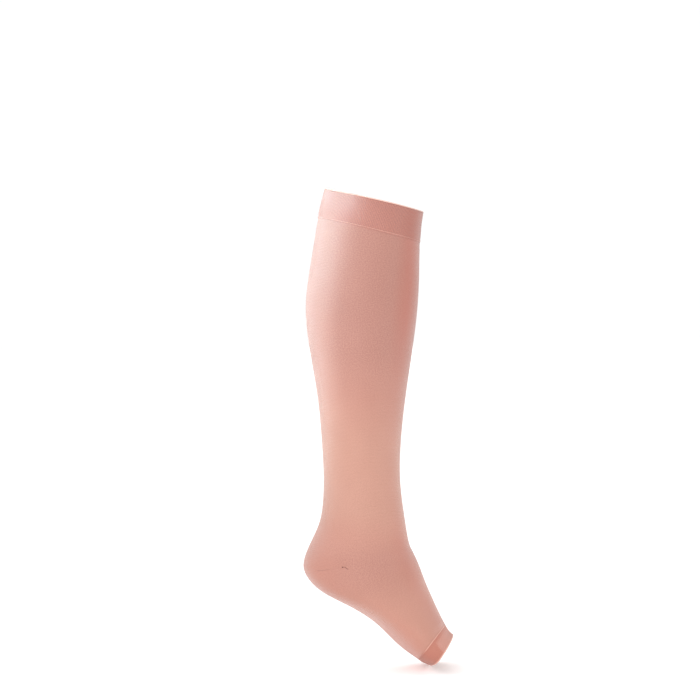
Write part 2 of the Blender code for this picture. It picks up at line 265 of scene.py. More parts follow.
@dataclass(frozen=True)
class YarnFinish:
    """Polyamide-covered elastic yarn, knitted: matt, with a soft light fuzz at grazing angles.

    The UV map "knit" counts the stitches round and along the cloth, so that they stretch with it.
    """
    name: str
    yarn: str                       # where the loops stand up to the light
    shade: str                      # between the loops
    relief: float = 0.14            # mm, drawn a little deeper than the loops are
    roughness: float = 0.52
    gloss: float = 0.80             # specular level: smooth polyamide filaments shine a little
    sheen: float = 0.34             # less where the fuzz is worn off, on the sole
    sheen_roughness: float = 0.50
    speckle: float = 1.25           # spots to a stitch, from the yarn's uneven thickness and dye take-up
    weave: float = 0.9              # how far the stitches show in the colour
    mottle: float = 1.2             # how far the speckle does; the zone "calm" takes some away
    tints: tuple[tuple[str, str, float], ...] = ()      # zone, colour and strength

    def counts(self, tree: Tree) -> tuple[Socket, Socket]:
        """The stitch counts round and along the cloth."""
        uv = add_node(tree, "ShaderNodeUVMap", uv_map="knit")
        place = add_node(tree, "ShaderNodeSeparateXYZ", {0: uv.outputs["UV"]})
        return place.outputs["X"], place.outputs["Y"]

    def stitch_height(self, tree: Tree) -> Socket:
        """Height of the yarn over the cloth, 0 to 1."""
        raise NotImplementedError

    def colour(self, tree: Tree, height: Socket) -> Socket:
        """Yarn colour with its speckle, slow drift and tints.

        Args:
            tree: the node tree.
            height: the stitches' height.

        Returns:
            The colour's socket.
        """
        where = add_node(tree, "ShaderNodeTexCoord").outputs["Object"]
        stitches = add_node(tree, "ShaderNodeUVMap", uv_map="knit").outputs["UV"]
        fine = add_node(tree, "ShaderNodeTexNoise", {"Vector": stitches},
                        {"Scale": self.speckle, "Detail": 0.0}, noise_dimensions="2D")
        slow = add_node(tree, "ShaderNodeTexNoise", {"Vector": where}, {"Scale": DRIFT_SCALE, "Detail": 2.0})
        # on average the colour lies about halfway between yarn and shade
        level = 0.5 - DRIFT / 2 - MEAN_HEIGHT * self.weave
        share = reckon(tree, "MULTIPLY_ADD", height, self.weave, level)
        mottle = reckon(tree, "MULTIPLY_ADD", zone_value(tree, "calm"), -self.mottle, self.mottle)
        spot = reckon(tree, "SUBTRACT", fine.outputs[0], 0.5)
        share = reckon(tree, "MULTIPLY_ADD", spot, mottle, share)
        share = reckon(tree, "MULTIPLY_ADD", slow.outputs[0], DRIFT, share)
        mixed = blend(tree, share, self.shade, self.yarn, clamp_factor=True)
        for zone, tint, strength in self.tints:
            mixed = blend(tree, reckon(tree, "MULTIPLY", zone_value(tree, zone), strength), mixed, tint)
        return mixed

    def make(self) -> bpy.types.Material:
        """Build the material.

        Returns:
            The finished material.
        """
        material, tree, shader = new_material(self.name, self.roughness, self.gloss)
        height = self.stitch_height(tree)
        tree.links.new(self.colour(tree, height), shader.inputs["Base Color"])
        bump = add_node(tree, "ShaderNodeBump", {"Height": height},
                        {"Strength": 1.0, "Distance": self.relief * MM})
        tree.links.new(bump.outputs[0], shader.inputs["Normal"])
        worn = reckon(tree, "MULTIPLY_ADD", zone_value(tree, "sole"), -WORN * self.sheen, self.sheen)
        tree.links.new(worn, shader.inputs["Sheen Weight"])
        shader.inputs["Sheen Roughness"].default_value = self.sheen_roughness
        shader.inputs["Sheen Tint"].default_value = WHITE
        return material


@dataclass(frozen=True)
class KnitFace(YarnFinish):
    """Right side of the body knit: small V-shaped stitches in upright wales."""
    slant: float = 1.1              # courses that a stitch's leg climbs over half a wale

    def stitch_height(self, tree: Tree) -> Socket:
        """Height of the V stitches, 0 to 1."""
        across, along = self.counts(tree)
        off_middle = reckon(tree, "ABSOLUTE", reckon(tree, "SUBTRACT", reckon(tree, "FRACT", across), 0.5))
        leg = reckon(tree, "MULTIPLY_ADD", off_middle, self.slant, along)
        loop = reckon(tree, "MULTIPLY_ADD", cosine(tree, leg), 0.5, 0.5)
        gully = reckon(tree, "POWER", reckon(tree, "MULTIPLY", off_middle, 2.0), 3.0)
        return reckon(tree, "MULTIPLY", loop, reckon(tree, "SUBTRACT", 1.0, gully))


@dataclass(frozen=True)
class KnitBack(YarnFinish):
    """Wrong side of the knit, against the skin: rows of round purl bumps."""

    def stitch_height(self, tree: Tree) -> Socket:
        """Height of the purl bumps, 0 to 1, set half a wale over in every second row."""
        across, along = self.counts(tree)
        shifted = reckon(tree, "MULTIPLY_ADD", reckon(tree, "FLOOR", along), 0.5, across)
        rows = reckon(tree, "SINE", reckon(tree, "MULTIPLY", reckon(tree, "FRACT", along), math.pi))
        return reckon(tree, "MULTIPLY", reckon(tree, "MULTIPLY_ADD", cosine(tree, shifted), 0.25, 0.75), rows)


@dataclass(frozen=True)
class BandFace(YarnFinish):
    """Doubled band with elastic laid in: fine broken ribs that lean a little off the upright."""
    lean: float = 0.25              # ribs that one course moves over
    breaks: float = 0.35            # how far each course cuts into the ribs

    def stitch_height(self, tree: Tree) -> Socket:
        """Height of the broken ribs, 0 to 1."""
        across, along = self.counts(tree)
        leaning = reckon(tree, "MULTIPLY_ADD", along, self.lean, across)
        rib = reckon(tree, "MULTIPLY_ADD", cosine(tree, leaning), 0.5, 0.5)
        cut = reckon(tree, "MULTIPLY_ADD", cosine(tree, along), self.breaks / 2, 1 - self.breaks / 2)
        return reckon(tree, "MULTIPLY", rib, cut)


@dataclass(frozen=True)
class Thread(YarnFinish):
    """Twisted yarn of the closing stitches: a fine slanting ply."""
    relief: float = 0.03
    speckle: float = 0.6

    def stitch_height(self, tree: Tree) -> Socket:
        """Height of the ply, 0 to 1."""
        return reckon(tree, "MULTIPLY_ADD", cosine(tree, reckon(tree, "ADD", *self.counts(tree))), 0.5, 0.5)


@dataclass(frozen=True)
class LightTable:
    """White acrylic sheet, matt, lit softly from below: it thins the shadows and lights the sole."""
    name: str = "opal_acrylic_table"
    light: str = "#fdfcfc"
    dull: str = "#fbfafa"
    glow_colour: str = "#ffeae5"
    glow: float = 0.235
    roughness: float = 0.9
    gloss: float = 0.1
    grain: float = 6.0              # scale of its faint unevenness, to a metre

    def make(self) -> bpy.types.Material:
        """Build the material.

        Returns:
            The finished material.
        """
        material, tree, shader = new_material(self.name, self.roughness, self.gloss)
        where = add_node(tree, "ShaderNodeTexCoord").outputs["Object"]
        grain = add_node(tree, "ShaderNodeTexNoise", {"Vector": where}, {"Scale": self.grain, "Detail": 3.0})
        tree.links.new(blend(tree, grain.outputs[0], self.light, self.dull), shader.inputs["Base Color"])
        shader.inputs["Emission Color"].default_value = linear(self.glow_colour)
        shader.inputs["Emission Strength"].default_value = self.glow
        return material


# the stretched body knit: fine, even, a warm beige; pinker where it is stretched most, over the calf, and
# browner in the heel pocket, whose courses lie closer; painted shade, darker and redder, beside the shin,
# warm under the foot and dark in the creases of the gore line and its dimples
BODY_FACE = KnitFace("body_knit_face", yarn="#c28a77", shade="#a36957", weave=0.55, mottle=3.0, tints=(
    ("stretch", "#87534e", 0.40), ("shin", "#a64b2e", 0.70), ("ankle", "#ad9b84", 0.09),
    ("heel", "#ac7362", 0.30), ("sole", "#a84a26", 0.30), ("crease", "#74402f", 0.90)))
BODY_BACK = KnitBack("body_knit_back", yarn="#cda792", shade="#b58a76", relief=0.20, sheen=0.25)
# the bands are two layers and don't let the light through, so they look a little darker and duller; the
# top band is stretched most; both have a painted highlight along the bead of the rim and painted shade in the
# groove under it, beside the shin and under the foot, and the toe band painted light where the toes push it
# out
TOP_BAND_FACE = BandFace("top_band_knit_face", yarn="#af6d5d", shade="#8f574b", relief=0.24, weave=0.7,
                         mottle=1.0, breaks=0.15, lean=0.11, tints=(
    ("shin", "#984428", 0.85), ("rim", "#f3cfc0", 0.70), ("crease", "#7a4636", 0.35)))
TOE_BAND_FACE = BandFace("toe_band_knit_face", yarn="#bf7d6a", shade="#9b5c4c", relief=0.20, weave=0.9,
                         mottle=0.9, sheen=0.12, gloss=0.5, tints=(
    ("sole", "#8f4630", 0.40), ("patch", "#d0aba1", 0.25), ("rim", "#f3cfc0", 0.50),
    ("crease", "#7a4636", 0.35)))
# the closing yarn is paler than the bands, and its paleness is also a painted highlight along the raised seam
# lines;
# it takes up their painted shade beside the shin and under the foot
BAND_THREAD = Thread("band_closing_yarn", yarn="#dbab9b", shade="#c59180",
                     tints=(("shin", "#984428", 0.62),))
TOE_THREAD = Thread("toe_closing_yarn", yarn="#eec9ba", shade="#dcb0a0",
                    tints=(("sole", "#8f4630", 0.75),))


# ---------------------------------------------------------------- the form

def ring_shape(angle: Array, square: Array,
               broad_back: Array) -> tuple[Array, Array]:
    """Ring of half depth 1 and half width 1.

    Args:
        angle: 0 at the front, pi at the back.
        square: how far its corners fill.
        broad_back: how far its widest place lies towards the back.

    Returns:
        Places along its depth and along its width.
    """
    depth = (np.cos(angle) - square * np.cos(3 * angle)) / (1 - square)
    depth = depth + broad_back / 2 * (np.cos(2 * angle) - 1)
    width = (np.sin(angle) + square * np.sin(3 * angle)) / (1 - square)
    return depth, width


def half_width_for(girth: float, half_depth: float, square: float, broad_back: float) -> float:
    """Half width that gives a ring its girth, found by halving."""
    depth, width = ring_shape(np.linspace(0, FULL_TURN, 361), square, broad_back)
    low, high = 0.0, girth / 2
    for _ in range(40):
        middle = (low + high) / 2
        if np.hypot(np.diff(half_depth * depth), np.diff(middle * width)).sum() < girth:
            low = middle
        else:
            high = middle
    return low


def spline_bends(stations: Array, values: Array) -> Array:
    """Second derivatives of the natural cubic spline through the values."""
    count = len(stations)
    step = np.diff(stations)[:, None]
    matrix = np.eye(count)
    wanted = np.zeros_like(values)
    for k in range(1, count - 1):
        before, after = step[k - 1, 0], step[k, 0]
        matrix[k, k - 1:k + 2] = before, 2 * (before + after), after
        wanted[k] = 6 * ((values[k + 1] - values[k]) / after - (values[k] - values[k - 1]) / before)
    return np.linalg.solve(matrix, wanted)


class StockingForm:
    """Smooth tube through the rings of FORM, in metres.

    A station is a distance down the tube, halfway between the path down its back and the path down its
    front. An angle of 0 is the front, pi the back and half pi the inner side, +Y.
    """

    def __init__(self) -> None:
        """Work out the rings' stations and the spline through them."""
        table = np.array(list(FORM.values()), dtype=float)
        column = {name: table[:, k] for k, name in enumerate(FORM_COLUMNS)}
        back = np.stack([column["back_x"], column["back_z"]], axis=1) * MM
        front = np.stack([column["front_x"], column["front_z"]], axis=1) * MM
        half_depth = np.linalg.norm(front - back, axis=1) / 2
        half_width = [half_width_for(girth * MM, depth, square, broad) for girth, depth, square, broad
                      in zip(column["girth"], half_depth, column["square"], column["broad_back"])]
        steps = (np.linalg.norm(np.diff(back, axis=0), axis=1)
                 + np.linalg.norm(np.diff(front, axis=0), axis=1)) / 2
        self.stations = np.concatenate([[0.0], np.cumsum(steps)])
        self.station = dict(zip(FORM, self.stations))
        self.rings = np.column_stack([back, front, half_width, column["square"],
                                      column["broad_back"], np.radians(column["set_back"])])
        self.bends = spline_bends(self.stations, self.rings)

    def by_ring(self, table: dict[str, float], station: Array) -> Array:
        """Value at any station of a table that gives it at some rings."""
        return np.interp(station, [self.station[ring] for ring in table], list(table.values()))

    def ring_at(self, station: Array) -> Array:
        """The table's columns, smoothly carried to any station."""
        k = np.clip(np.searchsorted(self.stations, station) - 1, 0, len(self.stations) - 2)
        step = (self.stations[k + 1] - self.stations[k])[..., None]
        past = (station - self.stations[k])[..., None]
        left = step - past
        curved = (self.bends[k] * left ** 3 + self.bends[k + 1] * past ** 3) / (6 * step)
        straight_left = (self.rings[k] / step - self.bends[k] * step / 6) * left
        straight_past = (self.rings[k + 1] / step - self.bends[k + 1] * step / 6) * past
        return curved + straight_left + straight_past

    def point(self, station: Array, angle: Array) -> Array:
        """Point on the body knit's outer face."""
        ring = self.ring_at(station)
        back, front = ring[..., 0:2], ring[..., 2:4]
        half_width, square, broad_back, set_back = (ring[..., k] for k in range(4, 8))
        middle, half = (back + front) / 2, (front - back) / 2
        half_depth = np.linalg.norm(half, axis=-1)
        depth, width = ring_shape(angle, square, broad_back)
        slide = half_width * width * np.tan(set_back) / half_depth
        x = middle[..., 0] + half[..., 0] * depth + half[..., 1] * slide
        z = middle[..., 1] + half[..., 1] * depth - half[..., 0] * slide
        return np.stack([x, half_width * width, z], axis=-1)

    def directions(self, station: Array, angle: Array) -> tuple[Array, Array]:
        """Vectors down the tube and round it, for each metre of station and each radian."""
        small_step, small_turn = 0.2 * MM, 0.002
        down = self.point(station + small_step, angle) - self.point(station - small_step, angle)
        round_it = self.point(station, angle + small_turn) - self.point(station, angle - small_turn)
        return down / (2 * small_step), round_it / (2 * small_turn)

    def lifted(self, station: Array, angle: Array, height: Array) -> Array:
        """Point at a height over the body knit's outer face.

        Args:
            station: distance down the tube.
            angle: place round it.
            height: distance out of the cloth, negative towards the leg.

        Returns:
            Points, with x, y and z last.
        """
        down, round_it = self.directions(station, angle)
        normal = np.cross(down, round_it)
        normal /= np.linalg.norm(normal, axis=-1, keepdims=True)
        return self.point(station, angle) + normal * np.asarray(height)[..., None]


# ---------------------------------------------------------------- mesh helpers

def tube_faces(rows: int, columns: int, ends_joined: bool) -> list[list[int]]:
    """Quads of a grid that runs right round the leg.

    Args:
        rows: steps down the tube, or round a band's cross-section.
        columns: steps round the leg.
        ends_joined: True where the last row joins the first.

    Returns:
        Corner numbers, four to a face, facing out.
    """
    i = np.arange(rows if ends_joined else rows - 1)[:, None]
    j = np.arange(columns)[None, :]
    below, beside = (i + 1) % rows, (j + 1) % columns
    corners = [i * columns + j, below * columns + j, below * columns + beside, i * columns + beside]
    return np.stack(np.broadcast_arrays(*corners), axis=-1).reshape(-1, 4).tolist()


def corner_counts(across: Array, above: Array, below: Array) -> Array:
    """Stitch counts of each face corner, in the order of tube_faces.

    Args:
        across: count at each column, with one more at the end for the closing column.
        above: count along the cloth at the upper edge of each face row, over the columns and one more.
        below: the same at its lower edge.

    Returns:
        Two counts for each corner.
    """
    left, right = (np.broadcast_to(edge, above[:, :-1].shape) for edge in (across[:-1], across[1:]))
    u = np.stack([left, left, right, right], axis=-1)
    v = np.stack([above[:, :-1], below[:, :-1], below[:, 1:], above[:, 1:]], axis=-1)
    return np.stack([u, v], axis=-1).reshape(-1, 2)


def place_object(name: str, data: bpy.types.ID) -> bpy.types.Object:
    """Make an object of the data and put it in the scene."""
    item = bpy.data.objects.new(name, data)
    bpy.context.scene.collection.objects.link(item)
    return item


def cloth_mesh(name: str, points: Array, faces: list[list[int]], counts: Array,
               zones: dict[str, Array], *finishes: YarnFinish) -> bpy.types.Object:
    """Make one smooth piece from its points.

    Args:
        name: the piece's name.
        points: x, y and z of each vertex.
        faces: each one's corner numbers.
        counts: stitch counts of each corner, for the UV map "knit".
        zones: vertex values of the piece's zones, by name.
        finishes: its materials.

    Returns:
        The new object, at the origin.
    """
    mesh = bpy.data.meshes.new(name)
    mesh.from_pydata(points.reshape(-1, 3).tolist(), [], faces)
    mesh.uv_layers.new(name="knit").data.foreach_set("uv", counts.astype(np.float32).ravel())
    for zone, values in zones.items():
        attribute = mesh.attributes.new(zone, "FLOAT", "POINT")
        attribute.data.foreach_set("value", values.astype(np.float32).ravel())
    for finish in finishes:
        mesh.materials.append(finish.make())
    mesh.shade_smooth()
    return place_object(name, mesh)


def apply_modifiers(piece: bpy.types.Object) -> None:
    """Apply all of a piece's modifiers."""
    bpy.ops.object.select_all(action="DESELECT")
    piece.select_set(True)
    bpy.context.view_layer.objects.active = piece
    for modifier in list(piece.modifiers):
        bpy.ops.object.modifier_apply(modifier=modifier.name)
    piece.select_set(False)


def hill(distance: Array, width: float) -> Array:
    """Soft hill of height 1 and a width."""
    return np.exp(-(distance / width) ** 2)


def ease(share: Array) -> Array:
    """Smooth rise from 0 to 1 while share goes from 0 to 1."""
    share = np.clip(share, 0, 1)
    return share * share * (3 - 2 * share)


def off_back(angle: Array) -> Array:
    """Radians between places round the leg and the middle of the back."""
    return abs(angle % FULL_TURN - math.pi)


@dataclass(frozen=True)
class PaintedShadeZones:
    """Where painted shade darkens and reddens the front side of the leg, and where painted warm shade lies
    under the foot.

    All are degrees, from the middle of the front for the shin and of the back for the sole.
    """
    shin_edge: float = 74.0
    shin_fade: float = 30.0
    ridge_edge: float = 48.0        # nearer the front than this it weakens again
    ridge_fade: float = 26.0
    ridge_loss: float = 0.50        # by this share
    sole_edge: float = 90.0
    sole_fade: float = 60.0

    def at(self, form: StockingForm, station: Array, angle: Array) -> dict[str, Array]:
        """Work out both.

        Args:
            form: the stocking's form.
            station: distance down the tube of each point.
            angle: its place round the leg or foot.

        Returns:
            Values from 0 to 1 for the zones "shin" and "sole".
        """
        from_back, from_front = np.degrees(off_back(angle)), np.degrees(off_back(angle + math.pi))
        beside = ease((self.shin_edge - from_front) / self.shin_fade)
        ridge = 1 - self.ridge_loss * ease((self.ridge_edge - from_front) / self.ridge_fade)
        under = ease((self.sole_edge - from_back) / self.sole_fade)
        # the shin zone is painted shade, darker and redder, on the front side of the leg and the instep,
        # where less light falls
        return {"shin": beside * ridge * form.by_ring(SHIN_SIDE_SHADE, station),
                # the sole zone is painted warm shade under the foot; it also takes some sheen off there
                "sole": under * form.by_ring(SOLE_SHADE, station)}


# ---------------------------------------------------------------- the gore line's end

@dataclass(frozen=True)
class Streak:
    """A faint strain line that runs on from the dimple, mm."""
    slope: float        # down for each mm ahead
    depth: float
    start: float        # ahead of the gore line's end
    reach: float


@dataclass(frozen=True)
class Dimple:
    """The gathered dimple at the front end of a gore line: a deep dot, then an arc that hooks down.

    Sizes are in mm. The cloth swells a little below both.
    """
    dot_back: float = 4.9           # behind the line's end
    dot_drop: float = -0.05         # below the line
    dot_depth: float = 1.50
    dot_width: float = 0.56
    arc_length: float = 3.0
    arc_drop: float = 2.0
    arc_hook: float = 1.5           # how late it bends down
    arc_depth: float = 0.70
    arc_width: float = 0.32
    arc_fade: float = 0.9           # over which it comes and goes
    arc_ahead: float = 0.6          # how far it runs on past the line's end
    arc_behind: float = 0.3         # and past its own length
    swell_drop: float = 0.95        # middle of the swellings, below the arc and the dot
    arc_swell: float = 0.36
    arc_swell_width: float = 0.42
    dot_swell: float = 0.32
    dot_swell_back: float = 0.5     # behind the dot
    dot_swell_width: float = 0.6    # along the gore line
    dot_swell_height: float = 0.40  # across it
    streaks: tuple[Streak, ...] = (Streak(-0.55, 0.05, 1.0, 10.0), Streak(0.10, 0.04, 2.0, 12.0),
                                   Streak(0.85, 0.06, 2.0, 16.0))
    streak_width: float = 1.0
    streak_rise: float = 3.0        # over which a streak comes
    streak_fade: float = 5.0        # and goes

    def height(self, down: Array, back: Array) -> Array:
        """Height of the dimple over the cloth.

        Args:
            down: distance of each point below the gore line, mm.
            back: distance of each point behind the line's end, mm.

        Returns:
            Height, mm.
        """
        hook = self.arc_drop * ease((self.arc_length - back) / self.arc_length) ** self.arc_hook
        along = ease((back + self.arc_ahead) / self.arc_fade)
        along = along * ease((self.arc_length + self.arc_behind - back) / self.arc_fade)
        height = -self.arc_depth * along * hill(down - hook, self.arc_width)
        height += self.arc_swell * along * hill(down - hook - self.swell_drop, self.arc_swell_width)
        behind = back - self.dot_back
        height -= self.dot_depth * hill(behind, self.dot_width) * hill(down - self.dot_drop, self.dot_width)
        height += (self.dot_swell * hill(behind - self.dot_swell_back, self.dot_swell_width)
                   * hill(down - self.swell_drop, self.dot_swell_height))
        for streak in self.streaks:
            shown = ease((-back - streak.start) / self.streak_rise)
            shown = shown * ease((streak.reach + back) / self.streak_fade)
            height -= streak.depth * shown * hill(down + streak.slope * back, self.streak_width)
        return height


# ---------------------------------------------------------------- the body knit

@dataclass
class KnitBody:
    """Leg, heel pocket and foot, knitted in one: a thin stretched tube with a groove along its gore line.

    Both ends are tucked into the bands. Round the leg, columns stand closer at the two ends of the gore
    line, where the cloth puckers.
    """
    form: StockingForm
    wall: float = 0.8 * MM
    tuck: float = 1.5 * MM                  # under each band
    row_pitch: float = 2.8 * MM
    columns: int = 152
    wales: int = 216                        # real ones are 1 mm wide over the calf, drawn 1.65 mm
    course: float = 1.35 * MM               # real ones are 0.8 mm apart
    pocket_reach: float = 28.0 * MM         # from the gore line to the pocket's edges, at the back
    pocket_side: float = math.radians(72)   # from the middle of the back to the gore line's ends
    pocket_flat: float = math.radians(27)   # to where the pocket's edges start to close in
    fine_rows: tuple[float, ...] = (0.25, 0.5, 0.75, 1.0, 1.3, 1.6, 2.0, 2.5, 3.2)      # mm from it
    fine_turn: float = math.radians(0.42)   # between columns at the line's ends
    fine_reach: float = math.radians(8)     # to each side of them
    gore_width: float = 0.42                # mm, of its groove
    rise_from: float = 45.0                 # degrees from the middle of the back where the line climbs
    rise_over: float = 20.0
    valley_depth: float = 0.20              # mm, of the slight valley under the top band
    valley_drop: float = 2.6
    valley_width: float = 2.0
    slack_girth: float = 226.0              # mm: where the cloth is stretched least
    stretch_span: float = 130.0             # mm more: where it is stretched most
    crease_from: float = 0.04               # mm deep: where the crease's shade starts
    crease_over: float = 0.40
    clear_of_band: float = 10.0 * MM        # under its base, where creases may start to show
    pocket_fade: float = 5.0 * MM           # over which the heel pocket's tint comes
    pocket_lead: float = 0.3                # share of it that lies outside the pocket
    dimple: Dimple = Dimple()

    def rows(self) -> Array:
        """Stations of the rows, closer together at the gore line."""
        gore = self.form.station["heel_tip"]
        start = self.form.station["band_base"] - self.tuck
        end = self.form.station["toe_seam"] + self.tuck
        fine = np.array(self.fine_rows) * MM
        above = np.linspace(start, gore - fine[-1], round((gore - fine[-1] - start) / self.row_pitch))
        below = np.linspace(gore + fine[-1], end, round((end - gore - fine[-1]) / self.row_pitch))
        return np.concatenate([above[:-1], gore - fine[::-1], [gore], gore + fine, below[1:]])

    def turns(self) -> Array:
        """Angles of the columns, closer together at the two ends of the gore line."""
        even = np.linspace(0, FULL_TURN, self.columns + 1)[:-1]
        near, spacing = self.fine_reach, self.fine_turn
        ends = (math.pi - self.pocket_side, math.pi + self.pocket_side)
        kept = even[np.all([abs(even - end) > near for end in ends], axis=0)]
        close = [np.arange(end - near, end + near + spacing / 2, spacing) for end in ends]
        return np.sort(np.concatenate([kept, *close]))

    def half_pocket(self, angle: Array) -> Array:
        """Height of half the pocket over its gore line, at each angle."""
        closed_in = (self.pocket_side - off_back(angle)) / (self.pocket_side - self.pocket_flat)
        return self.pocket_reach * np.clip(closed_in, 0, 1)

    def count_rows(self, rows: Array, angle: Array) -> tuple[Array, Array]:
        """Courses counted down the leg, and counted on from the gore line down the foot.

        The leg's courses close up behind the ankle to make room for the pocket, and the foot's do so
        under the heel. The pocket's own courses run at their full pitch and meet at the gore line.

        Args:
            rows: the rows' stations.
            angle: the columns' angles.

        Returns:
            Counts for the faces above the gore line and for those below it.
        """
        station = rows[:, None]
        gore, ankle, arch = (self.form.station[ring] for ring in ("heel_tip", "ankle", "arch"))
        half = self.half_pocket(angle)[None, :]
        plain = (station - gore) / self.course
        upper, lower = gore - half, gore + half
        closing = (ankle - gore) * (upper - station) / (upper - ankle) / self.course
        above = np.where(station < ankle, plain, np.where(station < upper, closing,
                                                          (station - upper) / self.course))
        opening = (arch - gore) * (station - lower) / (arch - lower) / self.course
        below = np.where(station > arch, plain, np.where(station > lower, opening,
                                                         (station - lower) / self.course))
        return above, below

    def relief(self, rows: Array, angle: Array) -> Array:
        """Height of the outer face over the plain form, metres.

        Args:
            rows: the rows' stations.
            angle: the columns' angles.

        Returns:
            Height at each point of the grid.
        """
        gore = self.form.station["heel_tip"]
        from_back = np.degrees(off_back(angle))
        climbed = GORE_RISE * ease((from_back[None, :] - self.rise_from) / self.rise_over)
        down = (rows[:, None] - gore) / MM + climbed
        depth = np.interp(from_back, *zip(*GORE_DEPTHS))
        under_band = (rows[:, None] - self.form.station["band_base"]) / MM
        total = -depth[None, :] * hill(down, self.gore_width)
        total = total - self.valley_depth * hill(under_band - self.valley_drop, self.valley_width)
        for side in Side:
            tip = math.pi - side.value * self.pocket_side
            around = np.linalg.norm(self.form.directions(np.array(gore), np.array(tip))[1]) / MM
            total = total + self.dimple.height(down, (angle[None, :] - tip) * side.value * around)
        return total * MM

    def zones(self, rows: Array, angle: Array, relief: Array) -> dict[str, Array]:
        """Where the cloth is stretched, where the heel pocket is, and where painted shade falls beside the
        shin, under the foot and in its creases.

        Args:
            rows: the rows' stations.
            angle: the columns' angles.
            relief: height of the grid's points over the plain form.

        Returns:
            Values from 0 to 1 for the zones "stretch", "heel", "crease", "calm", "ankle", "shin" and "sole".
        """
        below_band = ease((rows[:, None] - self.form.station["band_base"]) / self.clear_of_band - 1)
        girth = np.interp(rows, self.form.stations, [row[4] for row in FORM.values()])
        even_round = {"stretch": ease((girth - self.slack_girth) / self.stretch_span),
                      "calm": self.form.by_ring(CALM, rows), "ankle": self.form.by_ring(ANKLE, rows)}
        past = self.half_pocket(angle)[None, :] - abs(rows[:, None] - self.form.station["heel_tip"])
        # painted shade where the cloth sinks into the gore line, its dimples and streaks, darker the deeper
        folded = ease((-relief / MM - self.crease_from) / self.crease_over)
        return {"heel": ease(past / self.pocket_fade + self.pocket_lead), "crease": folded * below_band,
                **{zone: np.broadcast_to(values[:, None], relief.shape)
                   for zone, values in even_round.items()},
                **PaintedShadeZones().at(self.form, rows[:, None], angle[None, :])}

    def build(self) -> bpy.types.Object:
        """Make the tube and give it its wall.

        Returns:
            The finished piece.
        """
        rows, angle = self.rows(), self.turns()
        relief = self.relief(rows, angle)
        points = self.form.lifted(*np.broadcast_arrays(rows[:, None], angle[None, :]), relief)
        closing = np.append(angle, angle[0] + FULL_TURN)
        above, below = self.count_rows(rows, closing)
        split = int(np.searchsorted(rows, self.form.station["heel_tip"] - 0.01 * MM))
        upper = np.concatenate([above[:split], below[split:-1]])
        lower = np.concatenate([above[1:split + 1], below[split + 1:]])
        faces = tube_faces(len(rows), len(angle), ends_joined=False)
        counts = corner_counts(self.wales * closing / FULL_TURN, upper, lower)
        piece = cloth_mesh("body_knit", points, faces, counts, self.zones(rows, angle, relief),
                           BODY_FACE, BODY_BACK)
        wall = piece.modifiers.new("wall", "SOLIDIFY")
        wall.thickness, wall.offset, wall.material_offset = self.wall, -1.0, 1
        apply_modifiers(piece)
        return piece


# ---------------------------------------------------------------- the bands

